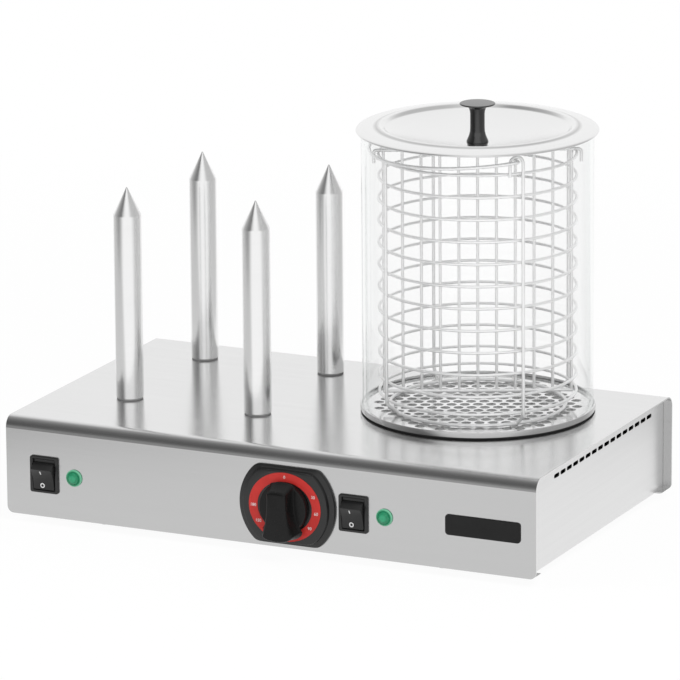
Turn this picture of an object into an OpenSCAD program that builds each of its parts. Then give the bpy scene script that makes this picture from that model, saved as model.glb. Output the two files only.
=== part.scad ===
// Counter-top hot dog warmer: four heated spikes for the rolls, and a steam column
// with a wire basket in a glass cylinder for the sausages.
// Millimetres. X runs left to right, Y front to back, Z up from the surface it stands on.

/* [Housing] */
// Width of the cover, left to right
body_w = 500; // [480:1:560]
// Depth of the cover, front to back
body_d = 296; // [284:1:340]
// Height of the cover above its lower edge
body_h = 86; // [84:1:110]
// Sheet thickness of the cover and the chassis
sheet = 1.2; // [0.8:0.1:2]
// Outside radius of the front and rear folds
fold_r = 10; // [5:0.5:11]
// Radius of the lower corners of the front and rear faces
corner_r = 6; // [3:0.5:9]
// How far the side panels stand in from the edge of the cover
side_recess = 8; // [4:0.5:14]
// Width of the return flanges under the cover
flange_w = 16; // [14:1:24]

/* [Feet and vents] */
// Height of the feet
foot_h = 9.2; // [8:0.2:20]
// Diameter of the feet where they meet the chassis
foot_d = 26; // [20:1:36]
// Distance of the foot centres from the edges of the cover
foot_inset = 56; // [48:1:80]
// Number of vent slots in each side panel
vent_count = 16; // [4:1:16]
// Spacing of the vent slots
vent_pitch = 13.4; // [12:0.1:15]
// Length of one vent slot
vent_l = 10.8; // [7:0.1:11]
// Height of one vent slot
vent_h = 3.6; // [2:0.1:5]

/* [Spikes] */
// Diameter of a spike
spike_d = 24.2; // [18:0.1:28]
// Height of the straight part of a spike above the cover
spike_h = 165; // [120:1:200]
// Height of the conical tip
tip_h = 24; // [15:1:40]
// Distance of the left spikes from the left edge of the cover
spike_edge = 71; // [55:1:80]
// Spacing of the spikes, left to right
spike_pitch_x = 124; // [90:1:130]
// Spacing of the spikes, front to back
spike_pitch_y = 146.6; // [100:0.2:160]
// Distance of the rear spikes from the rear edge of the cover
spike_rear = 52.3; // [45:0.1:70]
// Diameter of the threaded stem under a spike
stem_d = 12; // [11:0.5:14]

/* [Water pan] */
// Distance of the pan's centre from the right edge of the cover
pan_edge = 137; // [125:1:150]
// Distance of the pan's centre from the rear edge of the cover
pan_rear = 108.5; // [106:0.5:130]
// Depth of the water pan below its rim
pan_depth = 38; // [25:1:42]
// Height of the lip round the glass above the cover
lip_h = 6.6; // [5:0.1:10]
// Thickness of the seal under the pan's rim
seal_t = 1.5; // [1:0.1:3]
// Hole diameter in the steam plate
hole_d = 8.6; // [5:0.1:9]
// Hole spacing in the steam plate
hole_pitch = 11.4; // [10.6:0.1:16]

/* [Glass and lid] */
// Outside diameter of the glass cylinder
glass_d = 200; // [190:1:206]
// Wall thickness of the glass
glass_t = 3; // [2:0.1:4]
// Height of the glass cylinder
glass_h = 246; // [230:1:280]
// How far the lid reaches past the glass
lid_over = 4.5; // [3:0.1:8]
// Depth of the recess in the lid below the top of the glass
lid_dish = 11.5; // [6:0.5:12]
// Height of the lid's knob
lid_knob_h = 34; // [28:1:45]
// Diameter of the lid's knob
lid_knob_d = 31; // [24:1:40]

/* [Basket] */
// Gap from the glass to the middle of the ring wire
basket_gap = 12; // [11.4:0.1:16]
// Wire diameter of the rings
ring_wire = 2.5; // [2:0.1:3]
// Wire diameter of the legs, divider and bail
leg_wire = 3; // [2.4:0.1:3.2]
// Number of evenly spaced rings
ring_count = 11; // [5:1:11]
// Depth of the top ring below the top of the glass
basket_drop = 21.4; // [21:0.1:40]
// Height of the lowest full ring above the steam plate
low_ring = 14; // [11:0.5:16]
// Gap between the two lowest full rings
low_gap = 15.6; // [12:0.1:19]
// Inward step to the ring that the basket stands on
base_step = 9; // [6:0.5:20]
// Number of upright wires in the divider
bar_count = 11; // [5:1:13]
// Turn of the basket about the column, seen from above
basket_turn = 25.4; // [0:0.1:40]
// Slope of the bail as it lies folded
bail_slope = 4.6; // [3:0.1:5.5]

/* [Controls] */
// Distance of the left switch from the left edge
switch_edge = 37.2; // [30:0.1:45]
// Distance of the right switch from the middle
switch_x = 82; // [75:0.5:90]
// Distance from a switch to the lamp beside it
lamp_gap = 28.7; // [24:0.1:34]
// Distance of the dial from the middle
dial_x = 20.5; // [5:0.5:24]
// Width of the dial's bezel
bezel_w = 90; // [80:1:94]
// Height of the dial's bezel
bezel_h = 68.6; // [60:0.2:70]
// Depth of the dial's bezel
bezel_t = 7; // [5:0.5:10]
// Diameter of the turning knob
knob_d = 45; // [40:1:48]
// Depth of the turning knob
knob_t = 18; // [16:1:30]
// Width of the coloured dial ring
scale_d = 68; // [60:1:68]
// Swing of a rocker between its two positions
rocker_swing = 36; // [20:1:36]
// Width of the blank plate
plate_w = 69; // [50:1:80]
// Height of the blank plate
plate_h = 18; // [12:1:24]
// Distance of the blank plate's middle from the right edge
plate_edge = 48.5; // [44:0.5:70]

/* [Hidden] */
$fn = 72;
gap = 0.3;
slip = 0.05;
bead_over = 0.4;
z_low = foot_h - sheet;
z_top = z_low + body_h;
z_in = z_top - sheet;
floor_z = foot_h + sheet;
front_y = -body_d / 2;
rear_y = body_d / 2;
half_w = body_w / 2;
side_x = half_w - side_recess;

knob_reach = bezel_t + knob_t;
gland_reach = 9;
shift_y = (knob_reach - gland_reach) / 2;

spike_x0 = -half_w + spike_edge;
spike_y1 = rear_y - spike_rear;
spike_y0 = spike_y1 - spike_pitch_y;
washer_t = 1.2;
washer_r = spike_d / 2 - gap;
stem_l = 24;
heater_d = stem_d - 2.4;

pan_x = half_w - pan_edge;
pan_y = rear_y - pan_rear;
seat_z = z_top + seal_t + sheet;
glass_r = glass_d / 2;
glass_in = glass_r - glass_t;
well_r = glass_r - 12;
lip_in = glass_r + 0.6;
lip_out = lip_in + sheet;
stud_r = well_r + 6;
stud_d = 4;
pan_low = seat_z - pan_depth;
tube_d = 8;
tube_r = 60;
steam_r = glass_in - 1.5;
steam_t = 1;
deck_z = seat_z + steam_t;
rim_z = seat_z + glass_h;

ring_r = glass_in - basket_gap;
base_r = ring_r - base_step;
leg_r = ring_r + (ring_wire + leg_wire) / 2 - gap;
base_z = deck_z + leg_wire / 2 + bead_over;
top_ring_z = rim_z - basket_drop;
ring_pitch = (top_ring_z - deck_z - low_ring - low_gap) / (ring_count - 1);
arch_r = 6;
arch_z = top_ring_z + 9;
pivot_z = arch_z + arch_r - leg_wire - gap;
arch_turn = asin(arch_r / leg_r);
pivot_turn = 21;
bail_r = leg_r + 5.6;
bar_z = top_ring_z + (ring_wire + leg_wire) / 2 + 0.1;
bar_low = deck_z + low_ring - 1.5;
bar_span = ring_r - ring_wire / 2 - leg_wire / 2 - 1.5;
hook_r = ring_r + (ring_wire + leg_wire) / 2 + 1.2;

lid_t = 1;
lid_r = glass_r + lid_over;
lid_floor = rim_z - lid_dish;
lid_flat_r = 11;
bowl_r = ring_r - 7;
bowl_edge = 0.5;
lid_crown = 3.8;
knob_neck_r = 6.3;
knob_foot_r = 9.6;

control_z = z_low + (body_h - fold_r) / 2;
seam_z = z_top - 24;
tongue_w = body_w - 60;
tongue_low = 14;
tongue_up = 12;
weld_h = 10;
switch_l_x = -half_w + switch_edge;
lamp_l_x = switch_l_x + lamp_gap;
lamp_r_x = switch_x + lamp_gap;
frame_w = 27;
frame_h = 32.5;
frame_t = 2.2;
cut_w = 22.4;
cut_h = 30;
pocket_w = 20.6;
pocket_h = 27.2;
rocker_w = pocket_w - 2 * gap;
rocker_in = 5;
rocker_out = 11.2;
rocker_face = 10.2;
rocker_dip = 1.8;
pivot_d = 3;
pivot_reach = 0.6;
pivot_slip = 0.15;
lamp_d = 15;
lamp_hole = 10;
shaft_d = 6;
boss_d = 9.6;
scale_t = 0.3;
scale_h = bezel_h - 8;
skirt_h = 5;
gland_x = -half_w + 110;
gland_z = z_low + 30;
gland_bore = 9;
gland_thread = 16;

module placed() {
  translate([0, shift_y, 0])
    children();
}

module on_front(x, z) {
  placed()
    translate([x, front_y, z])
      rotate([90, 0, 0])
        children();
}

module on_rear(x, z) {
  placed()
    translate([x, rear_y, z])
      rotate([-90, 0, 0])
        children();
}

module on_column(z) {
  placed()
    translate([pan_x, pan_y, z])
      rotate(basket_turn)
        children();
}

module at_spikes() {
  for (i = [0, 1], j = [0, 1])
    translate([spike_x0 + i * spike_pitch_x, spike_y0 + j * spike_pitch_y, 0])
      children();
}

module at_studs() {
  for (a = [45 : 90 : 315])
    rotate(a)
      translate([stud_r, 0, 0])
        children();
}

module at_feet() {
  for (sx = [-1, 1], sy = [-1, 1])
    translate([sx * (half_w - foot_inset), sy * (rear_y - foot_inset), 0])
      children();
}

module at_flange_screws() {
  for (sx = [-1, 1], sy = [-1, 1])
    translate([sx * (half_w - 90), sy * (rear_y - flange_w / 2 - sheet), 0])
      children();
}

module rounded(w, h, r) {
  square([w - 2 * r, h], center = true);
  square([w, h - 2 * r], center = true);
  for (sx = [-1, 1], sy = [-1, 1])
    translate([sx * (w / 2 - r), sy * (h / 2 - r)])
      circle(r);
}

module ring(r_out, r_in, h) {
  difference() {
    cylinder(r = r_out, h = h);
    translate([0, 0, -1])
      cylinder(r = r_in, h = h + 2);
  }
}

module hex_nut(size, bore, h) {
  difference() {
    cylinder(d = size / cos(30), h = h, $fn = 6);
    translate([0, 0, -1])
      cylinder(d = bore, h = h + 2);
  }
}

module wire(a, b, d) {
  v = b - a;
  l = norm(v);
  translate(a)
    rotate([0, acos(v[2] / l), atan2(v[1], v[0])])
      cylinder(d = d, h = l);
}

module bead(p, d) {
  translate(p)
    sphere(d = d + bead_over);
}

module hoop(r, d) {
  rotate_extrude()
    translate([r, 0])
      circle(d = d, $fn = 24);
}

module folded_section(inset, low) {
  r = fold_r - inset;
  half = rear_y - inset;
  high = z_top - inset;
  translate([-half, low])
    square([2 * half, high - r - low]);
  translate([-half + r, low])
    square([2 * (half - r), high - low]);
  for (s = [-1, 1])
    translate([s * (half - r), high - r])
      circle(r);
}

module across(w) {
  rotate([90, 0, 90])
    linear_extrude(w, center = true)
      children();
}

module folded_sheet() {
  intersection() {
    placed()
      across(body_w)
        difference() {
          folded_section(0, z_low);
          folded_section(sheet, foot_h);
          translate([-rear_y + flange_w, z_low - 1])
            square([body_d - 2 * flange_w, sheet + 2]);
        }
    placed()
      rotate([90, 0, 0])
        linear_extrude(body_d + 2, center = true)
          cover_outline();
  }
}

module rear_zone(high) {
  placed()
    translate([-half_w - 1, rear_y - flange_w - 1, 0])
      cube([body_w + 2, flange_w + 2, high]);
}

module flange_holes() {
  placed()
    at_flange_screws()
      translate([0, 0, z_low - 1])
        cylinder(d = 4.4, h = sheet + 2);
}

module cover() {
  color("Gainsboro")
    difference() {
      folded_sheet();
      rear_zone(seam_z);
      flange_holes();
      placed() {
        at_spikes()
          translate([0, 0, z_in - 1])
            cylinder(d = stem_d + 2 * gap, h = sheet + 2);
        translate([pan_x, pan_y, z_in - 1])
          cylinder(r = well_r + sheet + 1, h = sheet + 2);
        translate([pan_x, pan_y, z_in - 1])
          at_studs()
            cylinder(d = stud_d + 2 * gap, h = sheet + 2);
      }
      for (x = [switch_l_x, switch_x])
        on_front(x, control_z)
          translate([0, 0, -sheet - 1])
            linear_extrude(sheet + 2)
              square([cut_w, cut_h], center = true);
      for (x = [lamp_l_x, lamp_r_x])
        on_front(x, control_z)
          translate([0, 0, -sheet - 1])
            cylinder(d = lamp_hole + 2 * gap, h = sheet + 2);
      on_front(dial_x, control_z)
        translate([0, 0, -sheet - 1])
          cylinder(d = boss_d + 2 * gap, h = sheet + 2);
      for (s = [-1, 1])
        on_front(dial_x + s * 14, control_z)
          translate([0, 0, -sheet - 1])
            cylinder(d = 4.4, h = sheet + 2);
    }
}

module rear_panel() {
  color("Gainsboro")
    difference() {
      union() {
        intersection() {
          folded_sheet();
          rear_zone(seam_z - 2 * slip);
        }
        placed()
          translate([-tongue_w / 2, rear_y - 2 * sheet - gap, seam_z - tongue_low])
            cube([tongue_w, sheet, tongue_low + tongue_up]);
        placed()
          translate([-tongue_w / 2, rear_y - 1.5 * sheet - gap, seam_z - tongue_low])
            cube([tongue_w, sheet + gap, weld_h]);
      }
      flange_holes();
      on_rear(gland_x, gland_z)
        translate([0, 0, -sheet - 1])
          cylinder(d = gland_thread + 2 * gap, h = sheet + 2);
    }
}

module cover_outline() {
  translate([-half_w, z_low + corner_r])
    square([body_w, body_h + 1 - corner_r]);
  translate([-half_w + corner_r, z_low])
    square([body_w - 2 * corner_r, body_h]);
  for (s = [-1, 1])
    translate([s * (half_w - corner_r), z_low + corner_r])
      circle(corner_r);
}

module slot(l, h) {
  square([l - h, h], center = true);
  for (s = [-1, 1])
    translate([s * (l - h) / 2, 0])
      circle(d = h);
}

module side_section() {
  difference() {
    folded_section(sheet + gap, foot_h);
    for (i = [0 : vent_count - 1])
      translate([rear_y - 134 + (i - (vent_count - 1) / 2) * vent_pitch, z_top - 12])
        slot(vent_l, vent_h);
  }
}

module chassis() {
  color("LightGray")
    placed()
      difference() {
        union() {
          translate([-side_x, -rear_y + sheet, foot_h])
            cube([2 * side_x, body_d - 2 * sheet, sheet]);
          for (s = [-1, 1])
            translate([s * (side_x - sheet / 2), 0, 0])
              across(sheet)
                side_section();
          for (s = [-1, 1])
            translate([s * (side_x - 6) - 6, -rear_y + fold_r + 2, z_in - gap - sheet])
              cube([12, body_d - 2 * fold_r - 4, sheet]);
        }
        at_feet()
          translate([0, 0, foot_h - 1])
            cylinder(d = 4.4, h = sheet + 2);
        at_flange_screws()
          translate([0, 0, foot_h - 1])
            cylinder(d = 4.4, h = sheet + 2);
      }
}

module feet() {
  color("DimGray")
    placed()
      at_feet()
        difference() {
          cylinder(d1 = foot_d - 4, d2 = foot_d, h = foot_h);
          translate([0, 0, -1])
            cylinder(d = 10, h = foot_h - 3);
          translate([0, 0, -1])
            cylinder(d = 4.4, h = foot_h + 2);
        }
}

module foot_screws() {
  color("Silver")
    placed()
      at_feet() {
        translate([0, 0, foot_h - 4 - 2.6])
          cylinder(d = 8, h = 2.6);
        translate([0, 0, foot_h - 4])
          cylinder(d = 4, h = sheet + 9);
        translate([0, 0, floor_z])
          hex_nut(7, 4 + 2 * slip, 3.2);
      }
}

module cover_screws() {
  color("Silver")
    placed()
      at_flange_screws() {
        translate([0, 0, z_low - 2.4])
          cylinder(d = 8, h = 2.4);
        translate([0, 0, z_low])
          cylinder(d = 4, h = 2 * sheet + 5);
        translate([0, 0, floor_z])
          hex_nut(7, 4 + 2 * slip, 3.2);
      }
}

module spike(i, j) {
  color("Gainsboro")
    placed()
      translate([spike_x0 + i * spike_pitch_x, spike_y0 + j * spike_pitch_y, z_top])
        difference() {
          union() {
            translate([0, 0, washer_t])
              cylinder(d = spike_d, h = spike_h - washer_t);
            translate([0, 0, spike_h])
              cylinder(d1 = spike_d, d2 = 1.6, h = tip_h);
            translate([0, 0, washer_t - stem_l])
              cylinder(d = stem_d, h = stem_l);
          }
          translate([0, 0, washer_t + 5])
            cylinder(d = spike_d - 3, h = spike_h - washer_t - 5);
          translate([0, 0, spike_h - 0.01])
            cylinder(d1 = spike_d - 3, d2 = 1, h = tip_h - 4);
          translate([0, 0, washer_t - stem_l - 1])
            cylinder(d = heater_d + 2 * slip, h = stem_l + 8);
        }
}

module spike_front_left() {
  spike(0, 0);
}

module spike_front_right() {
  spike(1, 0);
}

module spike_rear_left() {
  spike(0, 1);
}

module spike_rear_right() {
  spike(1, 1);
}

module spike_washers() {
  color("DimGray")
    placed()
      at_spikes()
        translate([0, 0, z_top])
          ring(washer_r, stem_d / 2 + gap, washer_t);
}

module spike_nuts() {
  color("Silver")
    placed()
      at_spikes() {
        translate([0, 0, z_in - 1.5])
          ring(stem_d / 2 + 6, stem_d / 2 + gap, 1.5);
        translate([0, 0, z_in - 1.5 - 8])
          hex_nut(stem_d + 7, stem_d + 2 * slip, 8);
      }
}

module spike_heaters() {
  color("SlateGray")
    placed()
      at_spikes()
        translate([0, 0, z_top + washer_t - stem_l - 6]) {
          cylinder(d = heater_d, h = spike_h * 0.85 + stem_l);
          translate([0, 0, 6 - 2])
            cylinder(d = stem_d, h = 2);
          for (s = [-1, 1])
            translate([s * 2.2, 0, -8])
              cylinder(d = 1.8, h = 8.5);
        }
}

module pan_profile() {
  wall = sheet;
  z0 = seat_z;
  polygon([
    [0, pan_low], [well_r - 1.5, pan_low], [well_r, pan_low + 1.5], [well_r, z0],
    [lip_in, z0], [lip_in, z_top + lip_h], [lip_out, z_top + lip_h],
    [lip_out, z0 - wall], [well_r + wall, z0 - wall], [well_r + wall, pan_low + 1],
    [well_r - 1, pan_low - wall], [0, pan_low - wall]
  ]);
}

module pan() {
  color("WhiteSmoke")
    placed()
      translate([pan_x, pan_y, 0]) {
        rotate_extrude()
          pan_profile();
        translate([0, 0, z_top + seal_t - 14])
          at_studs()
            cylinder(d = stud_d, h = 14);
        translate([0, 0, pan_low - sheet - 20])
          cylinder(d = 6, h = 20);
      }
}

module pan_seal() {
  color("DimGray")
    placed()
      translate([pan_x, pan_y, z_top])
        difference() {
          ring(lip_out - 0.8, well_r + sheet + 1, seal_t);
          translate([0, 0, -1])
            at_studs()
              cylinder(d = stud_d + 2 * gap, h = seal_t + 2);
        }
}

module pan_nuts() {
  color("Silver")
    placed()
      translate([pan_x, pan_y, z_in - 3.2])
        at_studs()
          hex_nut(7, stud_d + 2 * slip, 3.2);
}

module pan_heater() {
  z = pan_low - sheet - tube_d / 2 - slip;
  color("SlateGray")
    placed()
      translate([pan_x, pan_y, z]) {
        hoop(tube_r, tube_d);
        for (s = [-1, 1])
          translate([-tube_r * cos(8), s * tube_r * sin(8), -16])
            cylinder(d = 5, h = 16);
      }
}

module heater_clamp() {
  z = pan_low - sheet - tube_d - 2 * slip - 2;
  color("Silver")
    placed()
      translate([pan_x, pan_y, z])
        difference() {
          translate([-10, -tube_r - 8, 0])
            cube([20, 2 * tube_r + 16, 2]);
          translate([0, 0, -1])
            cylinder(d = 6.4, h = 4);
        }
}

module clamp_nut() {
  color("Silver")
    placed()
      translate([pan_x, pan_y, pan_low - sheet - tube_d - 2 * slip - 2 - 5])
        hex_nut(10, 6 + 2 * slip, 5);
}

module steam_plate() {
  field_r = well_r - 0.6;
  rows = floor(field_r / (hole_pitch * sin(60)));
  cols = ceil(field_r / hole_pitch) + 1;
  color("Gainsboro")
    on_column(seat_z)
      linear_extrude(steam_t)
        difference() {
          circle(steam_r);
          for (j = [-rows : rows], i = [-cols : cols]) {
            x = (i + (j % 2) / 2) * hole_pitch;
            y = j * hole_pitch * sin(60);
            if (norm([x, y]) < field_r)
              translate([x, y])
                circle(d = hole_d);
          }
        }
}

module glass() {
  color([0.85, 0.92, 0.95, 0.35])
    placed()
      translate([pan_x, pan_y, seat_z])
        ring(glass_r, glass_in, glass_h);
}

module arch(side) {
  turn = pivot_turn + side;
  rotate(turn - 90)
    translate([leg_r * cos(arch_turn), 0, arch_z])
      rotate([90, 0, 90])
        rotate_extrude(angle = 180)
          translate([arch_r, 0])
            circle(d = leg_wire, $fn = 24);
  for (s = [-1, 1])
    rotate(turn + s * arch_turn - 90)
      bead([leg_r, 0, arch_z], leg_wire);
  rotate(turn - arch_turn - 90)
    translate([leg_r, 0, top_ring_z - 2])
      cylinder(d = leg_wire, h = arch_z - top_ring_z + 2);
}

module leg(turn, top) {
  knee = deck_z + 11;
  rotate(turn - 90) {
    wire([leg_r, 0, knee], [leg_r, 0, top], leg_wire);
    wire([leg_r, 0, knee], [base_r, 0, base_z], leg_wire);
    bead([leg_r, 0, knee], leg_wire);
    bead([base_r, 0, base_z], leg_wire);
  }
}

module basket_rings() {
  color("WhiteSmoke")
    on_column(0) {
      for (i = [0 : ring_count - 1])
        translate([0, 0, top_ring_z - i * ring_pitch])
          hoop(ring_r, ring_wire);
      translate([0, 0, deck_z + low_ring])
        hoop(ring_r, ring_wire);
    }
}

module basket_legs() {
  color("WhiteSmoke")
    on_column(0) {
      translate([0, 0, base_z])
        hoop(base_r, leg_wire);
      for (side = [0, 180]) {
        arch(side);
        leg(pivot_turn + arch_turn + side, arch_z);
        leg(pivot_turn + arch_turn + side + 90, top_ring_z + 1);
      }
    }
}

module divider() {
  step = 2 * bar_span / (bar_count - 1);
  color("WhiteSmoke")
    on_column(0) {
      wire([-hook_r, 0, bar_z], [hook_r, 0, bar_z], leg_wire);
      wire([-bar_span, 0, bar_low], [bar_span, 0, bar_low], leg_wire);
      for (i = [0 : bar_count - 1])
        translate([-bar_span + i * step, 0, bar_low])
          cylinder(d = leg_wire - 0.4, h = bar_z - bar_low);
      for (s = [-1, 1]) {
        bead([s * hook_r, 0, bar_z], leg_wire);
        bead([s * bar_span, 0, bar_low], leg_wire);
        wire([s * hook_r, 0, bar_z - 11], [s * hook_r, 0, bar_z], leg_wire);
      }
    }
}

module bail() {
  color("WhiteSmoke")
    on_column(pivot_z)
      rotate(pivot_turn - 90)
        rotate([bail_slope, 0, 0]) {
          rotate([0, 0, 180])
            rotate_extrude(angle = 180)
              translate([bail_r, 0])
                circle(d = leg_wire, $fn = 24);
          for (s = [-1, 1]) {
            bead([s * bail_r, 0, 0], leg_wire);
            wire([s * (leg_r - leg_wire), 0, 0], [s * bail_r, 0, 0], leg_wire - 0.4);
          }
        }
}

function lid_bowl(share) = [
  lid_flat_r + (bowl_r - lid_flat_r) * share,
  lid_floor + (lid_dish + bowl_edge) * pow(share, 1.8)
];

module lid_profile() {
  steps = 10;
  bowl = [for (i = [0 : steps]) lid_bowl(i / steps)];
  bowl_under = [for (i = [steps : -1 : 0]) bowl[i] - [0, lid_t]];
  top_z = rim_z + lid_crown;
  ridge = [
    [bowl_r + 1, top_z - 2.7], [bowl_r + 2.2, top_z - 1.7], [bowl_r + 3.4, top_z - 0.8],
    [bowl_r + 4.6, top_z - 0.25], [bowl_r + 6, top_z], [bowl_r + 8, top_z - 0.2],
    [bowl_r + 10, top_z - 0.8], [bowl_r + 12, top_z - 1.3]
  ];
  ridge_under = [for (i = [len(ridge) - 1 : -1 : 0]) ridge[i] + [0.3, -1.15 * lid_t]];
  flange = [
    [glass_in - 3, rim_z + 2.05 * lid_t], [glass_r + 1.5, rim_z + lid_t],
    [lid_r - 0.9, rim_z + 0.2], [lid_r, rim_z - 0.6],
    [lid_r - 0.4, rim_z - 1.4], [lid_r - 1.4, rim_z - 0.9],
    [glass_r + 1, rim_z], [glass_in - 3, rim_z + lid_t]
  ];
  floor = [[0, lid_floor - lid_t], [0, lid_floor]];
  polygon(concat(bowl, ridge, flange, ridge_under, bowl_under, floor));
}

module lid() {
  color("WhiteSmoke")
    placed()
      translate([pan_x, pan_y, 0])
        difference() {
          rotate_extrude()
            lid_profile();
          translate([0, 0, lid_floor - lid_t - 1])
            cylinder(d = 5.4, h = lid_t + 2);
        }
}

module lid_knob() {
  r = lid_knob_d / 2;
  h = lid_knob_h;
  color("DimGray")
    placed()
      translate([pan_x, pan_y, lid_floor])
        difference() {
          rotate_extrude()
            polygon([
              [0, 0], [knob_foot_r, 0], [knob_foot_r - 0.4, 1.2], [knob_neck_r + 1.1, 5.5],
              [knob_neck_r + 0.2, 9], [knob_neck_r, 13], [knob_neck_r, h - 9.5],
              [knob_neck_r + 0.3, h - 7], [knob_neck_r + 1.1, h - 4.6],
              [knob_neck_r + 2.5, h - 3], [r - 4, h - 2], [r - 0.4, h - 1.3],
              [r, h - 0.8], [r - 0.3, h - 0.2], [r - 1.2, h], [0, h]
            ]);
          translate([0, 0, -1])
            cylinder(d = 5 + 2 * slip, h = 16);
        }
}

module lid_screw() {
  color("Silver")
    placed()
      translate([pan_x, pan_y, lid_floor - lid_t]) {
        translate([0, 0, -1.6])
          cylinder(d = 10, h = 1.6);
        cylinder(d = 5, h = 14);
      }
}

module bezel_outline(w, h, r) {
  big = w / 2;
  cz = h / 2 - r;
  cx = sqrt((big - r) * (big - r) - cz * cz) + slip;
  tz = cz * big / (big - r);
  square([2 * cx, h], center = true);
  intersection() {
    circle(big);
    square([w + 2, 2 * tz], center = true);
  }
  for (sx = [-1, 1], sz = [-1, 1])
    translate([sx * cx, sz * cz])
      circle(r);
}

module dial_bezel() {
  color("DimGray")
    on_front(dial_x, control_z)
      difference() {
        union() {
          linear_extrude(3)
            bezel_outline(bezel_w, bezel_h, 9);
          linear_extrude(bezel_t - scale_t)
            bezel_outline(bezel_w - 10, bezel_h - 6, 16);
        }
        translate([0, 0, -1])
          cylinder(d = boss_d + 2 * gap, h = bezel_t + 2);
        for (s = [-1, 1])
          translate([s * 14, 0, -1])
            cylinder(d = 8, h = 4);
      }
}

module dial_ring() {
  color("Crimson")
    on_front(dial_x, control_z)
      translate([0, 0, bezel_t - scale_t])
        intersection() {
          ring(scale_d / 2, knob_d / 2 - 1.5, scale_t);
          translate([-scale_d, -scale_h / 2, -1])
            cube([2 * scale_d, scale_h, scale_t + 2]);
        }
}

module grip_outline() {
  r = knob_d / 2;
  head = 8;
  waist = 11;
  tail = 18;
  polygon([
    [-head, r - 1], [head, r - 1], [waist, -r + 8],
    [tail, -r - 5], [-tail, -r - 5], [-waist, -r + 8]
  ]);
}

module dial_knob() {
  r = knob_d / 2;
  t = knob_t - gap;
  low = skirt_h - 1;
  color("DimGray")
    on_front(dial_x, control_z)
      translate([0, 0, bezel_t + gap])
        difference() {
          union() {
            cylinder(r1 = r, r2 = r - 1, h = skirt_h);
            translate([0, 0, low])
              intersection() {
                cylinder(r1 = r + 4, r2 = r + 3, h = t - low);
                linear_extrude(t - low)
                  grip_outline();
              }
          }
          rotate([90, 0, 90])
            linear_extrude(knob_d, center = true)
              polygon([
                [r - 1.5, skirt_h + 1], [r + 9, skirt_h + 1],
                [r + 9, t + 1], [r - 7.5, t + 1]
              ]);
          translate([0, 0, -1])
            cylinder(d = shaft_d + 2 * slip, h = t - 5);
          translate([-0.8, r - 16, t - 0.6])
            cube([1.6, 8, 2]);
        }
}

module thermostat() {
  color("LightSlateGray")
    on_front(dial_x, control_z)
      difference() {
        union() {
          translate([-22, -18, -sheet - 28])
            cube([44, 36, 28]);
          translate([0, 0, -sheet - 1])
            cylinder(d = boss_d, h = sheet + 3);
          for (s = [-1, 1])
            translate([s * 12 - 3, -5, -sheet - 37])
              cube([6, 0.8, 9]);
        }
        translate([0, 0, -sheet - 14])
          cylinder(d = shaft_d + 2 * slip, h = sheet + 20);
        for (s = [-1, 1])
          translate([s * 14, 0, -sheet - 10])
            cylinder(d = 4 + 2 * slip, h = 11);
      }
}

module thermostat_shaft() {
  color("Silver")
    on_front(dial_x, control_z)
      translate([0, 0, -sheet - 14 + gap])
        cylinder(d = shaft_d, h = sheet + 14 + bezel_t + knob_t - 7 - gap);
}

module thermostat_screws() {
  color("Silver")
    on_front(dial_x, control_z)
      for (s = [-1, 1])
        translate([s * 14, 0, 0]) {
          cylinder(d = 7, h = 2.4);
          translate([0, 0, -sheet - 8])
            cylinder(d = 4, h = sheet + 8);
        }
}

module sensor() {
  z = pan_low - sheet - 3 - slip;
  y0 = front_y + sheet + 28;
  color("Peru")
    placed() {
      wire([pan_x - 30, pan_y - 28, z], [pan_x + 30, pan_y - 28, z], 6);
      wire([pan_x - 30, pan_y - 28, z], [pan_x - 34, pan_y - 28, z - 13], 2);
      bead([pan_x - 34, pan_y - 28, z - 13], 2);
      wire([pan_x - 34, pan_y - 28, z - 13], [dial_x + 10, y0 + 22, z - 13], 2);
      bead([dial_x + 10, y0 + 22, z - 13], 2);
      wire([dial_x + 10, y0 + 22, z - 13], [dial_x + 10, y0 + gap, control_z], 2);
    }
}

module switch_body(x) {
  color("DimGray")
    on_front(x, control_z)
      difference() {
        union() {
          linear_extrude(frame_t)
            rounded(frame_w, frame_h, 2);
          translate([0, 0, -24])
            linear_extrude(24)
              square([cut_w - gap, cut_h - gap], center = true);
          for (s = [-1, 0, 1])
            translate([-3.2, s * 9 - 0.4, -33])
              cube([6.4, 0.8, 9]);
        }
        translate([0, 0, -rocker_in - 8])
          linear_extrude(rocker_in + 10 + frame_t)
            square([pocket_w, pocket_h], center = true);
        translate([0, 0, -rocker_in])
          rotate([0, 90, 0])
            cylinder(d = pivot_d + 2 * pivot_slip, h = cut_w, center = true);
      }
}

module switch_left() {
  switch_body(switch_l_x);
}

module switch_right() {
  switch_body(switch_x);
}

module rocker_section() {
  steps = 3;
  face = [for (i = [steps : -1 : -steps]) let (s = i / steps)
    [s * rocker_face, rocker_out - rocker_dip * (1 - s * s)]];
  cheek = rocker_face + 2;
  polygon(concat(
    [[-rocker_face + 1.2, -3], [rocker_face - 1.2, -3], [cheek, 2]], face, [[-cheek, 2]]
  ));
}

module rocker(x) {
  color("DimGray")
    on_front(x, control_z)
      translate([0, 0, -rocker_in])
        rotate([rocker_swing / 2, 0, 0]) {
          rotate([90, 0, 90])
            linear_extrude(rocker_w, center = true)
              rocker_section();
          rotate([0, 90, 0])
            cylinder(d = pivot_d, h = rocker_w + 2 * (gap + pivot_reach), center = true);
        }
}

module rocker_left() {
  rocker(switch_l_x);
}

module rocker_right() {
  rocker(switch_x);
}

module lamp(x) {
  color("SeaGreen")
    on_front(x, control_z) {
      cylinder(d = lamp_d, h = 2);
      translate([0, 0, 2])
        cylinder(d1 = lamp_d, d2 = lamp_d - 5, h = 2.6);
    }
}

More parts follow.
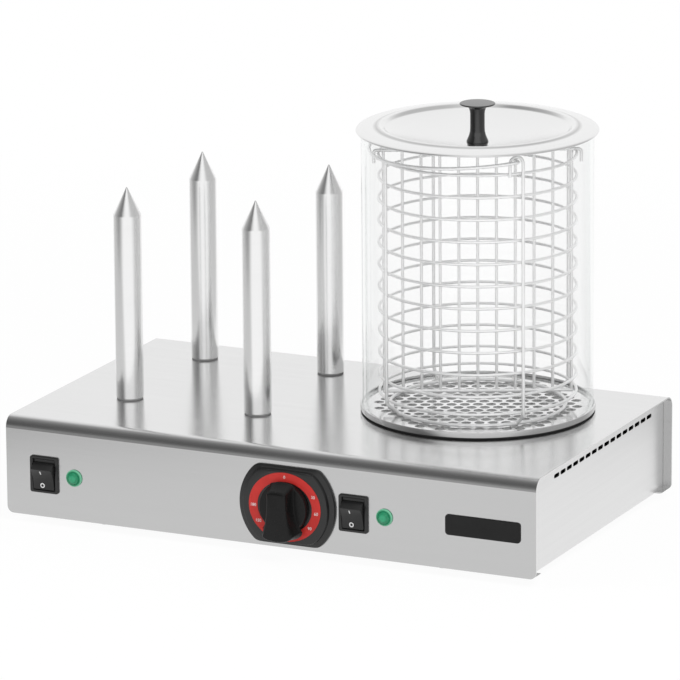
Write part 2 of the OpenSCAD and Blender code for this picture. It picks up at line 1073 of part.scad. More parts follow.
module lamp_left() {
  lamp(lamp_l_x);
}

module lamp_right() {
  lamp(lamp_r_x);
}

module lamp_bodies() {
  color("Gainsboro")
    for (x = [lamp_l_x, lamp_r_x])
      on_front(x, control_z) {
        translate([0, 0, -26])
          cylinder(d = lamp_hole, h = 26);
        translate([0, 0, -sheet - 2])
          ring(8, lamp_hole / 2, 2);
        for (s = [-1, 1])
          translate([s * 2.6 - 0.4, -2, -34])
            cube([0.8, 4, 8.5]);
      }
}

module blank_plate() {
  color("DimGray")
    on_front(half_w - plate_edge, control_z + 1)
      linear_extrude(1.2)
        rounded(plate_w, plate_h, 3);
}

module cable_gland() {
  color("DimGray")
    on_rear(gland_x, gland_z)
      difference() {
        union() {
          cylinder(d = 24 / cos(30), h = 4, $fn = 6);
          translate([0, 0, 4])
            cylinder(d1 = 20, d2 = 17, h = gland_reach - 4);
          translate([0, 0, -sheet - 14])
            cylinder(d = gland_thread, h = sheet + 15);
        }
        translate([0, 0, -sheet - 15])
          cylinder(d = gland_bore, h = sheet + 16 + gland_reach);
      }
}

module gland_nut() {
  color("DimGray")
    on_rear(gland_x, gland_z)
      translate([0, 0, -sheet - 5])
        hex_nut(22, gland_thread + 2 * slip, 5);
}

module terminal_block() {
  color("Ivory")
    placed()
      translate([gland_x + 30, rear_y - 60, floor_z])
        difference() {
          cube([46, 18, 16]);
          for (i = [0 : 3])
            translate([7 + i * 10.6, 9, 6])
              cylinder(d = 5, h = 12);
        }
}

cover();
rear_panel();
chassis();
feet();
foot_screws();
cover_screws();
spike_front_left();
spike_front_right();
spike_rear_left();
spike_rear_right();
spike_washers();
spike_nuts();
spike_heaters();
pan();
pan_seal();
pan_nuts();
pan_heater();
heater_clamp();
clamp_nut();
steam_plate();
glass();
basket_rings();
basket_legs();
divider();
bail();
lid();
lid_knob();
lid_screw();
dial_bezel();
dial_ring();
dial_knob();
thermostat();
thermostat_shaft();
thermostat_screws();
sensor();
switch_left();
switch_right();
rocker_left();
rocker_right();
lamp_left();
lamp_right();
lamp_bodies();
blank_plate();
cable_gland();
gland_nut();
terminal_block();
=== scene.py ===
import math

import bmesh
import bpy
from mathutils import Matrix, Vector


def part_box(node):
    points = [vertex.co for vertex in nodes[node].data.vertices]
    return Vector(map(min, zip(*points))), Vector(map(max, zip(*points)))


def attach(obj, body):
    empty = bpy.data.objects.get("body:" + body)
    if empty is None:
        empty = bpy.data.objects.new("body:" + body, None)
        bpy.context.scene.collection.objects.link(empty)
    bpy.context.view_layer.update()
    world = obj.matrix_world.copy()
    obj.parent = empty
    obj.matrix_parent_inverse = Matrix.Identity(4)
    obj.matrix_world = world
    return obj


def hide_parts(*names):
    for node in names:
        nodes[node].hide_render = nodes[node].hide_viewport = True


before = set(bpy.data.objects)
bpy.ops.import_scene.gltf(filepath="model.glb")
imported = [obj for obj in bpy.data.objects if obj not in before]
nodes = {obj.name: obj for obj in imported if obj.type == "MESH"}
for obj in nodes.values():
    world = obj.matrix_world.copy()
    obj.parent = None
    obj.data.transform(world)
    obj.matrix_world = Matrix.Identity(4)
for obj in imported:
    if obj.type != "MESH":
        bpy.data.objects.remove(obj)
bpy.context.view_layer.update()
mm = 0.001
print("frame loaded:", len(nodes), "nodes")


class Settings(dict):  # a dictionary whose values can be read as attributes too
    __getattr__ = dict.__getitem__


def span(node):  # lowest corner, highest corner, middle and size of a node, in millimetres
    low, high = (Vector(corner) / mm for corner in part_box(node))
    return low, high, (low + high) / 2, high - low


# places that several pieces share, in millimetres
housing = Settings(
    frontY=span("cover")[0].y, rearY=span("rear_panel")[1].y, topZ=span("cover")[1].z,
    controlZ=span("switch_left")[2].z,
)
column = Settings(x=span("glass")[2].x, y=span("glass")[2].y, turn=25.4)
viewTurn = 25.4456  # degrees round from the front to the photograph's side


class Signal:
    def __init__(self, finish, socket):
        self.finish, self.socket = finish, socket

    def sum(self, operation, other, swap=False):
        first, second = (other, self) if swap else (self, other)
        return self.finish.node("Math", {"operation": operation}, {0: first, 1: second})

    def __add__(self, other):
        return self.sum("ADD", other)

    def __sub__(self, other):
        return self.sum("SUBTRACT", other)

    def __rsub__(self, other):
        return self.sum("SUBTRACT", other, True)

    def __mul__(self, other):
        return self.sum("MULTIPLY", other)

    def __truediv__(self, other):
        return self.sum("DIVIDE", other)

    def __rtruediv__(self, other):
        return self.sum("DIVIDE", other, True)

    def __pow__(self, other):
        return self.sum("POWER", other)

    def __abs__(self):
        return self.finish.node("Math", {"operation": "ABSOLUTE"}, {0: self})

    __radd__ = __add__
    __rmul__ = __mul__

    def limited(self):  # kept between 0 and 1
        return self.finish.node("Clamp", {}, {"Value": self})


# detail and roughness of each kind of noise
noiseKinds = dict(
    fine=(4, 0.7), film=(4, 0.6), plain=(3, 0.6), skin=(3, 0.65), grit=(3, 0.5), soft=(2, 0.5),
)


class Finish:
    names = dict(
        color="Base Color", rough="Roughness", metal="Metallic", normal="Normal", alpha="Alpha",
        shine="Specular IOR Level", grain="Anisotropic", glow="Emission Color",
        glowStrength="Emission Strength",
    )

    def __init__(self, name, owner=None):
        self.owner = owner or bpy.data.materials.new(name)
        self.owner.use_nodes = True
        self.tree = self.owner.node_tree
        self.tree.nodes.clear()

    def node(self, kind, settings, inputs, output=0):
        made = self.tree.nodes.new("ShaderNode" + kind)
        for key, value in settings.items():
            setattr(made, key, value)
        for key, value in inputs.items():
            if isinstance(value, Signal):
                self.tree.links.new(value.socket, made.inputs[key])
            else:
                made.inputs[key].default_value = value
        return Signal(self, made.outputs[output]) if made.outputs else None

    def place(self):
        return self.node("TexCoord", {}, {}, "Object")

    def parts(self, vector):
        split = self.node("SeparateXYZ", {}, {"Vector": vector})
        outputs = split.socket.node.outputs
        return [Signal(self, outputs[i]) for i in range(3)]

    def noise(self, vector, scale, kind):
        detail, rough = noiseKinds[kind]
        sizes = {"Vector": vector, "Scale": scale, "Detail": detail, "Roughness": rough}
        return self.node("TexNoise", {}, sizes)

    def stretched(self, vector, scale):
        return self.node("Mapping", {}, {"Vector": vector, "Scale": scale})

    def mix(self, factor, first, second):
        first, second = (v if isinstance(v, Signal) else shade(v) for v in (first, second))
        return self.node("Mix", {"data_type": "RGBA"}, {0: factor, 6: first, 7: second}, 2)

    def bump(self, height, strength, distance):
        return self.node("Bump", {}, {"Height": height, "Strength": strength, "Distance": distance})

    def surface(self, **values):
        shader = self.node("BsdfPrincipled", {}, {self.names[k]: v for k, v in values.items()})
        self.node("OutputMaterial", {}, {"Surface": shader})
        return self.owner


def shade(tone):  # a grey level or a colour, with full alpha
    return (*tone, 1.0) if isinstance(tone, tuple) else (tone, tone, tone, 1.0)


# what the finishes of each kind have in common; every look below says what differs
sheetUsual = dict(
    fine=1500, streaks=260, stretch=0.006, clouds=9, spread=0.07, lineShare=0.45, bandShare=0.35,
    cloudShare=0.2, frontRough=0, front=0, frontTone=0.7, bend=0, bendTone=0.7, bendPower=4, bendEdge=12,
)
turnedUsual = dict(
    axis=(column.x, column.y), dark=0.78, light=0.92, bump=0.12, depth=8e-5, grain=0.3, lineShare=0.6,
    cloudShare=0.4, filmEdge=2000,
)
metalUsual = dict(metal=1, fine=1300, rough=0.3, bump=0.1, depth=5e-5)
mouldedUsual = dict(fine=2600, clouds=80, rough=0.5, spread=0.1, bump=0.1, depth=5e-5, shine=0.3)


# sheet metal with fine scratches and a few long streaks, all running one way, plus painted shade on faces
# turned forward and along the bend
def brushedSheet(name, look):
    f = Finish(name)
    fine, streak = [look.fine] * 3, [look.streaks] * 3
    along = "xyz".index(look.along)
    fine[along] *= look.stretch
    streak[along] *= look.stretch * 2
    place = f.place()
    lines = f.noise(f.stretched(place, fine), 1.0, "fine")
    bands = f.noise(f.stretched(place, streak), 1.0, "plain")
    clouds = f.noise(place, look.clouds, "soft")
    tone = lines * look.lineShare + bands * look.bandShare + clouds * look.cloudShare
    color = f.mix(tone.limited(), look.dark, look.light)
    _, behind, up = f.parts(f.node("NewGeometry", {}, {}, "Normal"))
    ahead = (0.0 - behind).limited()
    # painted shade: faces turned forward are mixed towards a darker tone, standing in for the dark room they
    # reflect
    color = f.mix(ahead * look.front, color, look.frontTone)
    bend = ahead ** look.bendPower * (up * look.bendEdge).limited()  # painted shade along the bend between top and front, standing in for a dark reflection there
    color = f.mix(bend * look.bend, color, look.bendTone)
    rough = look.rough + ahead * look.frontRough + (clouds + lines - 1.0) * look.spread
    normal = f.bump(lines, look.bump, look.depth)
    return f.surface(color=color, metal=1, rough=rough, normal=normal)


# metal that was spun or turned, with fine rings round an upright axis
def turnedMetal(name, look):
    f = Finish(name)
    place = f.place()
    x, y, z = f.parts(place)
    dx, dy = x - look.axis[0] * mm, y - look.axis[1] * mm
    radius = (dx * dx + dy * dy) ** 0.5
    spot = f.node("CombineXYZ", {}, {0: radius * look.fine, 1: z * look.fine, 2: 0.0})
    rings = f.noise(spot, 1.0, "plain")
    clouds = f.noise(place, look.clouds, "soft")
    tone = (rings * look.lineShare + clouds * look.cloudShare).limited()
    color = f.mix(tone, look.dark, look.light)
    rough = look.rough + (clouds - 0.5) * look.spread
    normal = f.bump(rings, look.bump, look.depth)
    if "ring" in look:  # painted shade: a darker band round the axis, standing in for dark reflections
        off = abs(radius - look.ring * mm) / (look.ringHalf * mm)
        color = f.mix((1 - off).limited() * look.ringShare, color, look.ringTone)
    metal = 1.0
    if "stain" in look:  # dull film left by the water inside the well
        within = ((look.well * mm - radius) * look.filmEdge).limited()
        below = ((look.seat * mm - z) * look.filmEdge).limited()
        metal = 1 - within * below * look.stain
    return f.surface(color=color, metal=metal, rough=rough, normal=normal, grain=look.grain)


# plated or drawn metal with no direction
def plainMetal(name, look):
    f = Finish(name)
    place = f.place()
    clouds = f.noise(place, look.clouds, "plain")
    specks = f.noise(place, look.fine, "soft")
    color = f.mix(clouds, look.dark, look.light)
    rough = look.rough + (specks - 0.5) * look.spread
    normal = f.bump(specks, look.bump, look.depth)
    return f.surface(color=color, metal=look.metal, rough=rough, normal=normal)


# moulded plastic, rubber or print
def moulded(name, look):
    f = Finish(name)
    place = f.place()
    skin = f.noise(place, look.fine, "skin")
    clouds = f.noise(place, look.clouds, "soft")
    color = f.mix(clouds, look.dark, look.light)
    rough = look.rough + (skin + clouds - 1.0) * look.spread
    normal = f.bump(skin, look.bump, look.depth)
    return f.surface(color=color, rough=rough, normal=normal, shine=look.shine)


# thin clear wall: it mirrors more towards its edges and carries a faint film
def clearGlass(name, look):
    f = Finish(name)
    film = (f.noise(f.place(), look.clouds, "film") - 0.5).limited() * look.film
    facing = f.node("LayerWeight", {}, {"Blend": 0.5}, "Facing")
    alpha = (look.face + facing ** look.edgePower * look.edge + film).limited()
    return f.surface(color=shade(look.color), metal=1, rough=look.rough + film, alpha=alpha)


# clear coloured plastic with a bright heart, paler round its rim, and a faint painted glow though the lamp
# is unlit
def lensPlastic(name, look, center):
    f = Finish(name)
    place = f.place()
    x, _, z = f.parts(place)
    dx, dz = x - center.x * mm, z - center.z * mm
    radius = (dx * dx + dz * dz) ** 0.5 / mm
    cells = f.node("TexVoronoi", {"feature": "F1"}, {"Vector": place, "Scale": look.cells})
    clouds = f.noise(place, look.clouds, "soft")
    heart = ((look.heart - radius) / look.heartEdge).limited() * look.heartShare
    tone = (cells * look.cellShare + clouds * look.cloudShare + heart).limited()
    color = f.mix(tone, look.dark, look.light)
    rim = ((radius - look.rim) / look.rimEdge).limited()
    color = f.mix(rim * look.rimShare, color, look.pale)
    normal = f.bump(cells, look.bump, look.depth)
    # painted glow: the lens emits its own colour faintly, though the lamp is not lit
    settings = dict(rough=look.rough, shine=look.shine, glowStrength=look.glow)
    return f.surface(color=color, normal=normal, glow=color, **settings)


sheetLooks = dict(
    # the cover's front and bend values paint shade on its forward faces and along its fold
    cover=dict(along="x", dark=0.66, light=0.82, rough=0.16, frontRough=0.08, bump=0.35, depth=1.2e-4,
        front=0.7, frontTone=0.47, bend=0.6, bendTone=0.16),
    sides=dict(along="y", dark=0.7, light=0.84, rough=0.3, bump=0.3, depth=1e-4),
)
turnedLooks = dict(
    # pan and lid: ring and its band values paint a darker band of shade on the lip and on the ridge
    pan=dict(fine=1100, clouds=24, rough=0.17, spread=0.06, stain=0.75, well=88.6, seat=96, ring=101.9,
        ringHalf=0.9, ringShare=0.4, ringTone=0.25),
    deck=dict(fine=1300, clouds=40, rough=0.12, spread=0.08, bump=0.14, grain=0.2),
    lid=dict(fine=900, clouds=18, dark=0.8, light=0.88, rough=0.18, spread=0.05, bump=0.08, ring=87,
        ringHalf=3, ringShare=0.6, ringTone=0.3),
)
metalLooks = dict(
    wire=dict(clouds=60, fine=900, dark=0.88, light=0.97, metal=0.65, spread=0.1),
    zinc=dict(clouds=180, fine=1500, dark=0.42, light=(0.6, 0.6, 0.576), rough=0.34, spread=0.16, bump=0.2,
        depth=6e-5),
    sheath=dict(clouds=90, dark=0.1, light=(0.22, 0.2156, 0.209), rough=0.5, spread=0.2, bump=0.25,
        depth=8e-5),
    copper=dict(clouds=80, dark=(0.45, 0.2, 0.12), light=(0.72, 0.38, 0.24), spread=0.15),
)
plasticLooks = dict(
    satinBlack=dict(clouds=70, dark=0.007, light=0.011, rough=0.32, bump=0.12, shine=0.5),
    gripBlack=dict(dark=0.005, light=0.008, rough=0.28, shine=0.2),
    rockerBlack=dict(clouds=90, dark=0.01, light=0.015, rough=0.3, bump=0.08, depth=4e-5, shine=0.35),
    glossBlack=dict(fine=1800, clouds=60, dark=0.006, light=0.01, rough=0.1, spread=0.05, bump=0.04,
        depth=3e-5, shine=1),
    plateBlack=dict(fine=2200, clouds=40, dark=0.006, light=0.012, rough=0.2, bump=0.06, depth=4e-5,
        shine=0.2),
    fibre=dict(fine=1600, clouds=150, dark=0.28, light=0.38, rough=0.7, spread=0.2, bump=0.3, depth=8e-5),
    rubber=dict(fine=1800, clouds=90, dark=0.012, light=0.024, rough=0.72, spread=0.2, bump=0.3,
        depth=1e-4),
    printedRed=dict(fine=2400, clouds=110, dark=(0.46, 0.022, 0.018), light=(0.56, 0.034, 0.028), bump=0.06,
        depth=4e-5),
    printedPale=dict(fine=2400, clouds=200, dark=0.62, light=0.78, bump=0.05, depth=3e-5),
    greyBody=dict(fine=1500, clouds=60, dark=0.38, light=(0.4656, 0.48, 0.4944), rough=0.55, spread=0.15,
        bump=0.15, depth=8e-5, shine=0.5),
    ivory=dict(fine=1500, clouds=60, dark=(0.66, 0.62, 0.52), light=(0.8, 0.76, 0.66), rough=0.45,
        spread=0.12, bump=0.12, depth=8e-5, shine=0.5),
)
glassLook = Settings(
    clouds=16, film=0.05, color=(0.93, 0.95, 0.945), face=0.025, edge=0.85, edgePower=5, rough=0.03,
)
lensLook = Settings(
    cells=900, clouds=300, dark=(0.004, 0.14, 0.06), light=(0.03, 0.3, 0.15), pale=(0.2, 0.52, 0.34),
    heart=3.4, heartEdge=0.8, heartShare=0.45, cellShare=0.4, cloudShare=0.3, rim=6.2, rimEdge=0.9,
    rimShare=0.7, rough=0.2, shine=0.4, bump=0.4, depth=2e-4, glow=0.12,
)

finishKinds = [
    (brushedSheet, "Steel", sheetUsual, sheetLooks), (turnedMetal, "Steel", turnedUsual, turnedLooks),
    (plainMetal, "", metalUsual, metalLooks), (moulded, "", mouldedUsual, plasticLooks),
]
paints = dict(glass=clearGlass("clearGlass", glassLook))
for make, ending, usual, looks in finishKinds:
    paints.update({name: make(name + ending, Settings(usual, **look)) for name, look in looks.items()})
print("finishes made:", len(paints))


# mesh making, in millimetres
def turned(angle):
    return math.cos(math.radians(angle)), math.sin(math.radians(angle))


def eased(line, radius, steps=4, close=False):  # a line with its corners rounded
    made, count = [], len(line)
    for i, point in enumerate(line):
        here = Vector(point)
        if not close and i in (0, count - 1):
            made.append(tuple(here))
            continue
        back, ahead = Vector(line[i - 1]) - here, Vector(line[(i + 1) % count]) - here
        turn = math.pi - back.angle(ahead)
        reach = min(radius * math.tan(turn / 2), back.length * 0.48, ahead.length * 0.48)
        if turn < 0.03 or reach < 1e-4:
            made.append(tuple(here))
            continue
        start, end = here + back.normalized() * reach, here + ahead.normalized() * reach
        for k in range(steps + 1):
            t = k / steps
            made.append(tuple(start * (1 - t) ** 2 + here * (2 * t * (1 - t)) + end * t ** 2))
    return made


def peg(radius, low, high, ease, steps=3):  # half outline of a round pin
    return eased([(0, low), (radius, low), (radius, high), (0, high)], ease, steps)


def around(r, z, rows):  # points given by how far out and up they lie from one spot
    return [(r + out, z + up) for out, up in rows]


def wave(angle, count):  # rises from 0 to 1 and back, so many times round
    return 0.5 - 0.5 * turned(angle * count)[0]


def ellipse(half, high, level, steps):
    return [(half * c, high * s, level) for c, s in (turned(360 * k / steps) for k in range(steps))]


def circle(radius, level, steps=120):
    return ellipse(radius, radius, level, steps)


def onWall(x, z, y=housing.frontY, way=1):  # on the front, or on the rear with its y and -1
    return Matrix(((way, 0, 0, x), (0, 0, -way, y), (0, 1, 0, z), (0, 0, 0, 1)))


def onColumn(turn=0, z=0):
    spin = Matrix.Rotation(math.radians(turn), 4, "Z")
    return Matrix.Translation((column.x, column.y, z)) @ spin


def moved(x, y, z):
    return Matrix.Translation((x, y, z))


class Shape:
    def __init__(self):
        self.points, self.faces = [], []

    def add(self, points, faces, place=None):
        first = len(self.points)
        place = place or Matrix.Identity(4)
        self.points += [place @ Vector(p) for p in points]
        self.faces += [[i + first for i in face] for face in faces]

    def lathe(self, line, steps=160, close=False, place=None):
        points, faces, rings = [], [], []
        for r, z in line:
            count = 1 if r < 1e-6 else steps
            rings.append(range(len(points), len(points) + count))
            spots = (turned(360 * k / steps) for k in range(count))
            points += [(r * c, r * s, z) for c, s in spots]
        pairs = list(zip(rings, rings[1:]))
        if close:
            pairs.append((rings[-1], rings[0]))
        for low, high in pairs:
            for k in range(steps):
                n = (k + 1) % steps
                quad = [low[k % len(low)], low[n % len(low)], high[n % len(high)], high[k % len(high)]]
                face = list(dict.fromkeys(quad))
                if len(face) > 2:
                    faces.append(face)
        self.add(points, faces, place)

    def tube(self, path, radius, sides=14, close=False, place=None):
        path = [Vector(p) for p in path]
        count = len(path)
        points = []
        side = None
        for i, here in enumerate(path):
            if close:
                along = path[(i + 1) % count] - path[i - 1]
            else:
                along = path[min(i + 1, count - 1)] - path[max(i - 1, 0)]
            along.normalize()
            if side is None:
                side = Vector((0, 0, 1)) if abs(along.z) < 0.9 else Vector((1, 0, 0))
            side = (side - along * side.dot(along)).normalized()
            up = along.cross(side)
            spots = (turned(360 * k / sides) for k in range(sides))
            points.append([here + (side * c + up * s) * radius for c, s in spots])
        self.loft(points, place, (not close, not close), close)

    def loft(self, sections, place=None, ends=(True, True), close=False):
        sides, count = len(sections[0]), len(sections)
        points = [p for section in sections for p in section]
        faces = []
        for i in range(count if close else count - 1):
            j = (i + 1) % count
            for k in range(sides):
                n = (k + 1) % sides
                faces.append([i * sides + k, i * sides + n, j * sides + n, j * sides + k])
        if ends[0]:
            faces.append(list(range(sides))[::-1])
        if ends[1]:
            faces.append(list(range(len(points) - sides, len(points))))
        self.add(points, faces, place)

    def blob(self, center, radius, place):
        line = [(radius * turned(a)[0], radius * turned(a)[1]) for a in range(-90, 91, 30)]
        line[0], line[-1] = (0.0, -radius), (0.0, radius)
        self.lathe(line, 10, False, place @ moved(*center))

    def piece(self, name, paint, slot, replaced=(), body="housing", crease=32):
        mesh = bpy.data.meshes.new(name)
        mesh.from_pydata([p * mm for p in self.points], [], self.faces)
        mesh.materials.append(paints[paint])
        work = bmesh.new()
        work.from_mesh(mesh)
        bmesh.ops.recalc_face_normals(work, faces=work.faces)
        work.to_mesh(mesh)
        work.free()
        mesh.polygons.foreach_set("use_smooth", [True] * len(mesh.polygons))
        mesh.set_sharp_from_angle(angle=math.radians(crease))
        made = bpy.data.objects.new(name, mesh)
        bpy.context.scene.collection.objects.link(made)
        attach(made, body)
        if replaced:
            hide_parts(*replaced)


def roundRect(w, h, r, level, steps=5):
    r = max(r, 0.01)
    made = []
    for i, (sx, sy) in enumerate(((1, 1), (-1, 1), (-1, -1), (1, -1))):
        for k in range(steps + 1):
            c, s = turned(90 * i + 90 * k / steps)
            made.append((sx * (w / 2 - r) + r * c, sy * (h / 2 - r) + r * s, level))
    return made


def softBlock(shape, w, h, r, low, high, edge, place):
    # a plate with rounded corners and an eased outer edge
    sections = [roundRect(w, h, r, low)]
    for k in range(5):
        c, s = turned(90 * k / 4)
        cut = edge * (1 - c)
        sections.append(roundRect(w - 2 * cut, h - 2 * cut, r - cut, high - edge + edge * s))
    shape.loft(sections, place)


# four heated spikes on their washers; pairs are distances out and up from the spot named
spikeSizes = Settings(
    names=["spike_front_left", "spike_front_right", "spike_rear_left", "spike_rear_right"],
    stem=6, edge=0.5, tip=24, sides=96,
    shoulder=[(0, -0.5), (-0.25, 0.1)],  # from the foot of the tip
    nose=[(0.9, -1), (0.63, -0.35), (0.315, -0.05), (0, 0)],  # from its end
    look=dict(fine=1600, clouds=30, dark=0.84, light=0.96, rough=0.22, spread=0.08, depth=6e-5, grain=0.5),
)
washerSizes = Settings(thick=1.2, gap=0.05, inner=0.3, outer=0.6, ease=0.35, sides=64)


def makeSpikes(s, w):
    rings = Shape()
    seat = housing.topZ + w.thick
    for node in s.names:
        low, high, middle, size = span(node)
        r, tip = size.x / 2, high.z
        line = [(0, low.z), (s.stem, low.z), (s.stem, seat)]
        line += [(r - s.edge, seat), (r, seat + s.edge)]
        line += around(r, tip - s.tip, s.shoulder) + around(0, tip, s.nose)
        look = dict(s.look, axis=(middle.x, middle.y))
        paints[node] = turnedMetal(node + "Steel", Settings(turnedUsual, **look))
        place = moved(middle.x, middle.y, 0)
        body = Shape()
        body.lathe(line, s.sides, place=place)
        body.piece(node.replace("_", "-"), node, "polished_steel", [node])
        inner, outer = s.stem + w.inner, r - w.outer
        under, over = seat - w.thick + w.gap, seat - w.gap
        flat = [(inner, over), (inner, under), (outer, under), (outer, over)]
        rings.lathe(eased(flat, w.ease, close=True), w.sides, True, place)
    rings.piece("washer-rings", "fibre", "rubber", ["spike_washers"])


makeSpikes(spikeSizes, washerSizes)
print("spikes made")

# water pan, its seal, the glass cylinder and the lid
panSizes = Settings(
    well=88, low=58.7, seat=96.7, lipIn=100.6, lipOut=101.8, lipTop=100.6, sheet=1.2, corner=1.5,
    outerCorner=1, ease=0.9, weld=0.1, studs=94, studRadius=2, studLow=81.5, studEase=0.4,
    centerRadius=3, centerLow=37.5, centerEase=0.6,
)
sealSizes = Settings(inner=90.2, outer=101, low=94, high=95.5, bulge=0.3, ease=0.5, sides=128)
glassSizes = Settings(wall=3, ease=1.3)
lidSizes = Settings(
    flat=11, bowl=78, bowlEdge=0.5, bowlPower=1.8, bowlSteps=20, crown=3.8, sheet=1, ease=3,
    # out from the bowl and up from the crown
    ridge=[(1, -2.7), (2.2, -1.7), (3.4, -0.8), (4.6, -0.25), (6, 0), (7.2, -0.15), (8.4, -0.7),
        (9.6, -1.15), (12, -1.45)],
    ridgeUnder=(0.3, -1.15),
    flange=[(-6, 2.05), (1.5, 1)],  # from the glass and its rim
    flangeUnder=[(1, 0), (-6, 1)],
    rolled=[(-0.9, 0.2), (0, -0.6), (-0.4, -1.4), (-1.4, -0.9)],  # from the lid's edge and the glass's rim
)
knobSizes = Settings(
    foot=9.6, neck=6.3, lift=0.05, ease=2, sides=72,
    flare=[(0, 0.05), (-0.4, 1.2)],  # from the foot
    neckLow=[(1.1, 5.5), (0.2, 9), (0, 13)],  # from the neck and the foot
    neckHigh=[(0, -9.5), (0.3, -7), (1.1, -4.6), (2.5, -3)],  # from the neck and the top
    disc=[(-4, -2), (-0.4, -1.3), (0, -0.8), (-0.3, -0.2), (-1.2, 0)],  # from the top's edge
)


def makePan(s):
    t, well, low, seat = s.sheet, s.well, s.low, s.seat
    line = [(0, low), (well - s.corner, low), (well, low + s.corner), (well, seat)]
    line += [(s.lipIn, seat), (s.lipIn, s.lipTop), (s.lipOut, s.lipTop)]
    line += [(s.lipOut, seat - t), (well + t, seat - t), (well + t, low + s.outerCorner)]
    line += [(well - s.outerCorner, low - t), (0, low - t)]
    body = Shape()
    body.lathe(eased(line, s.ease), place=onColumn())
    stud = peg(s.studRadius, s.studLow, seat - t + s.weld, s.studEase)
    for c, sn in map(turned, (45, 135, 225, 315)):
        body.lathe(stud, 20, place=onColumn() @ moved(c * s.studs, sn * s.studs, 0))
    post = peg(s.centerRadius, s.centerLow, low - t + s.weld, s.centerEase)
    body.lathe(post, 24, place=onColumn())
    body.piece("water-pan", "pan", "pan_steel", ["pan"])


def makeSeal(s):
    middle = (s.low + s.high) / 2
    line = [(s.inner, s.low), (s.outer, s.low), (s.outer + s.bulge, middle)]
    line += [(s.outer, s.high), (s.inner, s.high)]
    seal = Shape()
    seal.lathe(eased(line, s.ease, 3, True), s.sides, True, onColumn())
    seal.piece("pan-gasket", "rubber", "rubber", ["pan_seal"])


def makeGlass(s):
    low, high, _, size = span("glass")
    outer, inner = size.x / 2, size.x / 2 - s.wall
    line = [(outer, low.z), (outer, high.z), (inner, high.z), (inner, low.z)]
    body = Shape()
    body.lathe(eased(line, s.ease, 6, True), close=True, place=onColumn())
    body.piece("glass-cylinder", "glass", "clear_glass", ["glass"], "glass_tube")


def makeLid(s, k):
    rim, floor = span("glass")[1].z, span("lid_knob")[0].z
    edge, glass = span("lid")[3].x / 2, span("glass")[3].x / 2
    b, t, top = s.bowl, s.sheet, rim + s.crown
    bowl = []
    for i in range(s.bowlSteps + 1):  # shallow bowl that rises faster towards its edge
        q = i / s.bowlSteps
        rise = (rim + s.bowlEdge - floor) * q ** s.bowlPower
        bowl.append((s.flat + (b - s.flat) * q, floor + rise))
    ridge = around(b, top, s.ridge)
    line = [(0, floor)] + bowl + ridge + around(glass, rim, s.flange)
    line += around(edge, rim, s.rolled) + around(glass, rim, s.flangeUnder)
    line += around(*s.ridgeUnder, ridge[::-1]) + around(0, -t, bowl[::-1]) + [(0, floor - t)]
    body = Shape()
    body.lathe(eased(line, s.ease, 2), place=onColumn())
    body.piece("lid-shell", "lid", "lid_steel", ["lid"], "lid_set")

    r, h, n = span("lid_knob")[3].x / 2, span("lid_knob")[3].z, k.neck
    line = [(0, k.lift)] + around(k.foot, 0, k.flare) + around(n, 0, k.neckLow)
    line += around(n, h, k.neckHigh) + around(r, h, k.disc) + [(0, h)]
    knob = Shape()
    knob.lathe(eased(line, k.ease), k.sides, place=onColumn(z=floor))
    knob.piece("lid-grip", "glossBlack", "black_gloss", ["lid_knob"], "lid_set")


makePan(panSizes)
makeSeal(sealSizes)
makeGlass(glassSizes)
makeLid(lidSizes, knobSizes)
print("pan, glass and lid made")

# wire basket, its divider and the bail
basketSizes = Settings(
    ring=85, ringWire=1.25, wire=1.5, leg=87.45, base=76, deck=97.7, baseLift=1.9, rings=11, top=321.3,
    low=111.7, pitch=19.4, knee=11, kneeRound=6, arch=6, archLift=9, archFoot=0.5, archEnd=2, legOver=1,
    weld=1.25, bead=0.2, pivotTurn=21, pivot=333, bail=93.05, slope=4.6, bailRound=2, bailSteps=64, bars=11,
    barSpan=80.75, barLow=110.2, barTop=324.15, barOver=1, barWire=1.3, hook=88.95, hookDrop=11,
    hookRound=3,
)


def makeBasket(s):
    place = onColumn(column.turn)
    archTurn = math.degrees(math.asin(s.arch / s.leg))
    levels = [s.top - i * s.pitch for i in range(s.rings)] + [s.low]
    rings = Shape()
    for z in levels:
        rings.tube(circle(s.ring, z), s.ringWire, close=True, place=place)
    legs = Shape()
    baseZ, archZ = s.deck + s.baseLift, s.top + s.archLift
    legs.tube(circle(s.base, baseZ), s.wire, close=True, place=place)
    for side in (0, 90, 180, 270):
        arched = side in (0, 180)
        c, sn = turned(s.pivotTurn + archTurn + side - 90)
        path = [(s.base, 0, baseZ), (s.leg, 0, s.deck + s.knee)]
        bent = eased(path + [(s.leg, 0, s.top + s.legOver)], s.kneeRound, 6)
        if arched:
            bent = bent[:-1] + [(s.leg, 0, archZ - s.archFoot)]
        path = [(x * c, x * sn, z) for x, _, z in bent]
        if arched:
            mx, my = turned(s.pivotTurn + side - 90)
            flat = s.leg * math.cos(math.radians(archTurn))
            for k in range(13):
                u, v = turned(180 * k / 12)
                u, v = u * s.arch, v * s.arch
                path.append((mx * flat - my * u, my * flat + mx * u, archZ + v))
            path.append((path[-1][0], path[-1][1], s.top - s.archEnd))
        legs.tube(path, s.wire, place=place)
        legs.blob((s.base * c, s.base * sn, baseZ), s.wire + s.bead, place)
        for z in levels:  # spot welds
            r = (s.ring + s.leg) / 2
            legs.blob((r * c, r * sn, z), s.weld, place)
    rings.piece("ring-wires", "wire", "bright_wire", ["basket_rings"], "basket")
    legs.piece("leg-wires", "wire", "bright_wire", ["basket_legs"], "basket")


